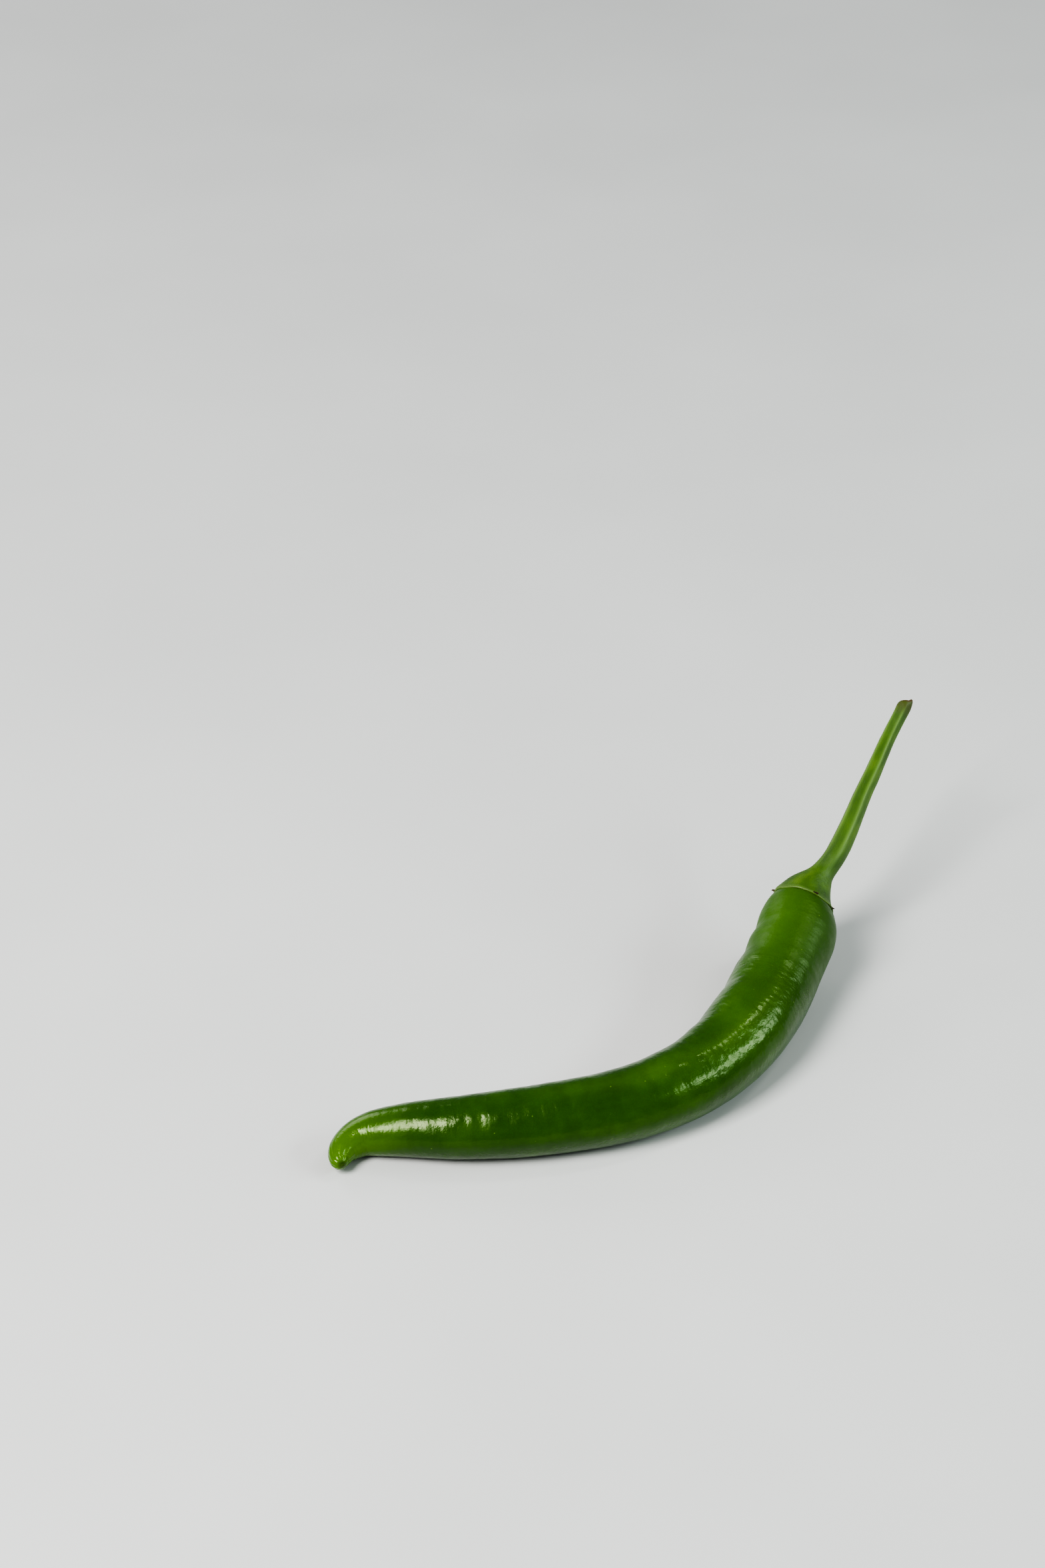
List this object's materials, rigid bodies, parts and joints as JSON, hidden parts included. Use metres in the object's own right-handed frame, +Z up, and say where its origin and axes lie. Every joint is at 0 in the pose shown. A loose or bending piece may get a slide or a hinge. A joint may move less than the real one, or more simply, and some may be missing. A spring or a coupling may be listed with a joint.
{
  "type": "green chilli pepper",
  "caption": "Long fresh green chilli pepper lying on its belly, bent, with a hooked blunt tip, a small calyx and a slender stalk that rises.",
  "frame": {"origin": "on the surface the pepper lies on, under the middle of its bounding box", "axes": "+Z up from the surface; +X along the longest side of the box, from the hooked tip towards the stalk's side; +Y from the belly towards the stalk's cut end"},
  "size_m": [0.137, 0.1234, 0.0447],
  "materials": {
    "pod_skin": "smooth waxy plant skin, glossy",
    "stalk_skin": "matt plant skin"
  },
  "bodies": {
    "root": {"pod": "pod_skin", "stalk": "stalk_skin"}
  },
  "joints": []
}
